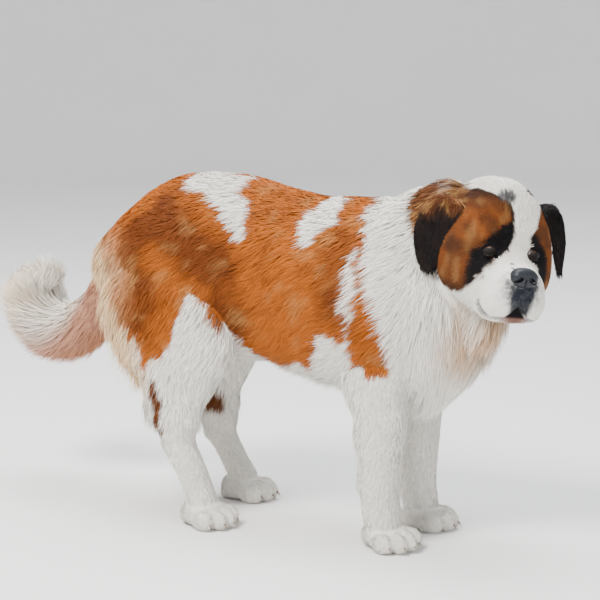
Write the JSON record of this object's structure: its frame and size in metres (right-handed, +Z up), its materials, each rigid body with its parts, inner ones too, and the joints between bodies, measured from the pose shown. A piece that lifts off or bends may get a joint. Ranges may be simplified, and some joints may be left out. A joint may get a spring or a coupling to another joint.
{
  "type": "saint bernard dog model",
  "caption": "Life-size still model of a long-haired dog standing on four paws, head turned to its right, with a bushy tail.",
  "frame": {"origin": "on the floor, under the middle of the model's bounding box", "axes": "+X to the dog's front, +Y to its left, +Z up"},
  "size_m": [1.4654, 0.3842, 0.787],
  "materials": {
    "coat_white": "soft long white fur",
    "coat_rust": "soft long orange-brown fur",
    "coat_cream": "soft long cream fur",
    "coat_dark": "short black-brown fur",
    "nose_leather": "moist pebbled",
    "eye": "wet and clear",
    "claw_horn": "smooth horn"
  },
  "bodies": {
    "root": {"torso": "coat_rust", "neck": "coat_white", "head": "coat_white", "lower_jaw": "coat_white", "nose_pad": "nose_leather", "ear_left": "coat_dark", "ear_right": "coat_dark", "eye_left": "eye", "eye_right": "eye", "upper_arm_fore_right": "coat_white", "forearm_fore_right": "coat_white", "paw_fore_right": "coat_white", "upper_arm_fore_left": "coat_white", "forearm_fore_left": "coat_white", "paw_fore_left": "coat_white", "thigh_hind_right": "coat_cream", "shank_hind_right": "coat_white", "paw_hind_right": "coat_white", "thigh_hind_left": "coat_cream", "shank_hind_left": "coat_white", "paw_hind_left": "coat_white", "tail_base": "coat_rust", "tail_plume": "coat_cream", "claw_fore_right_1": "claw_horn", "claw_fore_right_2": "claw_horn", "claw_fore_right_3": "claw_horn", "claw_fore_right_4": "claw_horn", "claw_fore_left_1": "claw_horn", "claw_fore_left_2": "claw_horn", "claw_fore_left_3": "claw_horn", "claw_fore_left_4": "claw_horn", "claw_hind_right_1": "claw_horn", "claw_hind_right_2": "claw_horn", "claw_hind_right_3": "claw_horn", "claw_hind_right_4": "claw_horn", "claw_hind_left_1": "claw_horn", "claw_hind_left_2": "claw_horn", "claw_hind_left_3": "claw_horn", "claw_hind_left_4": "claw_horn"}
  },
  "joints": []
}
